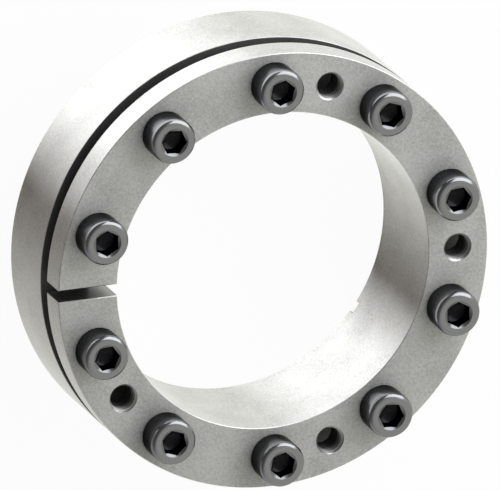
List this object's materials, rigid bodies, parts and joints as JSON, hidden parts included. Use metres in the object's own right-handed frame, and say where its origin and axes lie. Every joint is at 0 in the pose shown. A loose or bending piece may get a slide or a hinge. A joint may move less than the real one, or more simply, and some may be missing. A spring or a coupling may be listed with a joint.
{
  "type": "shaft locking assembly",
  "caption": "Keyless shaft locking assembly: slit flanged inner ring and slit outer ring on a shared taper, drawn together by socket head screws.",
  "frame": {"origin": "centre of the outer ring's rear face", "axes": "+Z along the shaft axis towards the screw heads, +X at the middle of a space between two screws, with the inner ring's slit at -X"},
  "size_m": [0.155, 0.155, 0.0558],
  "materials": {
    "ring_steel": "fine turned, satin",
    "screw_steel": "black oxide, oiled"
  },
  "bodies": {
    "inner_ring": {"inner_ring": "ring_steel"},
    "outer_ring": {"outer_ring": "ring_steel"},
    "screw_01": {"screw_01": "screw_steel"},
    "screw_02": {"screw_02": "screw_steel"},
    "screw_03": {"screw_03": "screw_steel"},
    "screw_04": {"screw_04": "screw_steel"},
    "screw_05": {"screw_05": "screw_steel"},
    "screw_06": {"screw_06": "screw_steel"},
    "screw_07": {"screw_07": "screw_steel"},
    "screw_08": {"screw_08": "screw_steel"},
    "screw_09": {"screw_09": "screw_steel"},
    "screw_10": {"screw_10": "screw_steel"}
  },
  "joints": [
    {"name": "outer_ring_slide", "type": "slide", "parent": "inner_ring", "child": "outer_ring", "axis": [0, 0, 1], "range_m": [-0.003, 0.0015]},
    {"name": "screw_01_turn", "type": "hinge", "parent": "inner_ring", "child": "screw_01", "pos_m": [0.06348, 0.02063, 0.0458], "axis": [0, 0, -1], "range_deg": [-720.01, 360.01]},
    {"name": "screw_02_turn", "type": "hinge", "parent": "inner_ring", "child": "screw_02", "pos_m": [0.03923, 0.054, 0.0458], "axis": [0, 0, -1], "range_deg": [-720.01, 360.01]},
    {"name": "screw_03_turn", "type": "hinge", "parent": "inner_ring", "child": "screw_03", "pos_m": [0, 0.06675, 0.0458], "axis": [0, 0, -1], "range_deg": [-720.01, 360.01]},
    {"name": "screw_04_turn", "type": "hinge", "parent": "inner_ring", "child": "screw_04", "pos_m": [-0.03923, 0.054, 0.0458], "axis": [0, 0, -1], "range_deg": [-720.01, 360.01]},
    {"name": "screw_05_turn", "type": "hinge", "parent": "inner_ring", "child": "screw_05", "pos_m": [-0.06348, 0.02063, 0.0458], "axis": [0, 0, -1], "range_deg": [-720.01, 360.01]},
    {"name": "screw_06_turn", "type": "hinge", "parent": "inner_ring", "child": "screw_06", "pos_m": [-0.06348, -0.02063, 0.0458], "axis": [0, 0, -1], "range_deg": [-720.01, 360.01]},
    {"name": "screw_07_turn", "type": "hinge", "parent": "inner_ring", "child": "screw_07", "pos_m": [-0.03923, -0.054, 0.0458], "axis": [0, 0, -1], "range_deg": [-720.01, 360.01]},
    {"name": "screw_08_turn", "type": "hinge", "parent": "inner_ring", "child": "screw_08", "pos_m": [0, -0.06675, 0.0458], "axis": [0, 0, -1], "range_deg": [-720.01, 360.01]},
    {"name": "screw_09_turn", "type": "hinge", "parent": "inner_ring", "child": "screw_09", "pos_m": [0.03923, -0.054, 0.0458], "axis": [0, 0, -1], "range_deg": [-720.01, 360.01]},
    {"name": "screw_10_turn", "type": "hinge", "parent": "inner_ring", "child": "screw_10", "pos_m": [0.06348, -0.02063, 0.0458], "axis": [0, 0, -1], "range_deg": [-720.01, 360.01]}
  ],
  "couplings": [
    {"joint": "screw_01_turn", "follows": "outer_ring_slide", "rad_per_m": 4188.8},
    {"joint": "screw_02_turn", "follows": "outer_ring_slide", "rad_per_m": 4188.8},
    {"joint": "screw_03_turn", "follows": "outer_ring_slide", "rad_per_m": 4188.8},
    {"joint": "screw_04_turn", "follows": "outer_ring_slide", "rad_per_m": 4188.8},
    {"joint": "screw_05_turn", "follows": "outer_ring_slide", "rad_per_m": 4188.8},
    {"joint": "screw_06_turn", "follows": "outer_ring_slide", "rad_per_m": 4188.8},
    {"joint": "screw_07_turn", "follows": "outer_ring_slide", "rad_per_m": 4188.8},
    {"joint": "screw_08_turn", "follows": "outer_ring_slide", "rad_per_m": 4188.8},
    {"joint": "screw_09_turn", "follows": "outer_ring_slide", "rad_per_m": 4188.8},
    {"joint": "screw_10_turn", "follows": "outer_ring_slide", "rad_per_m": 4188.8}
  ]
}
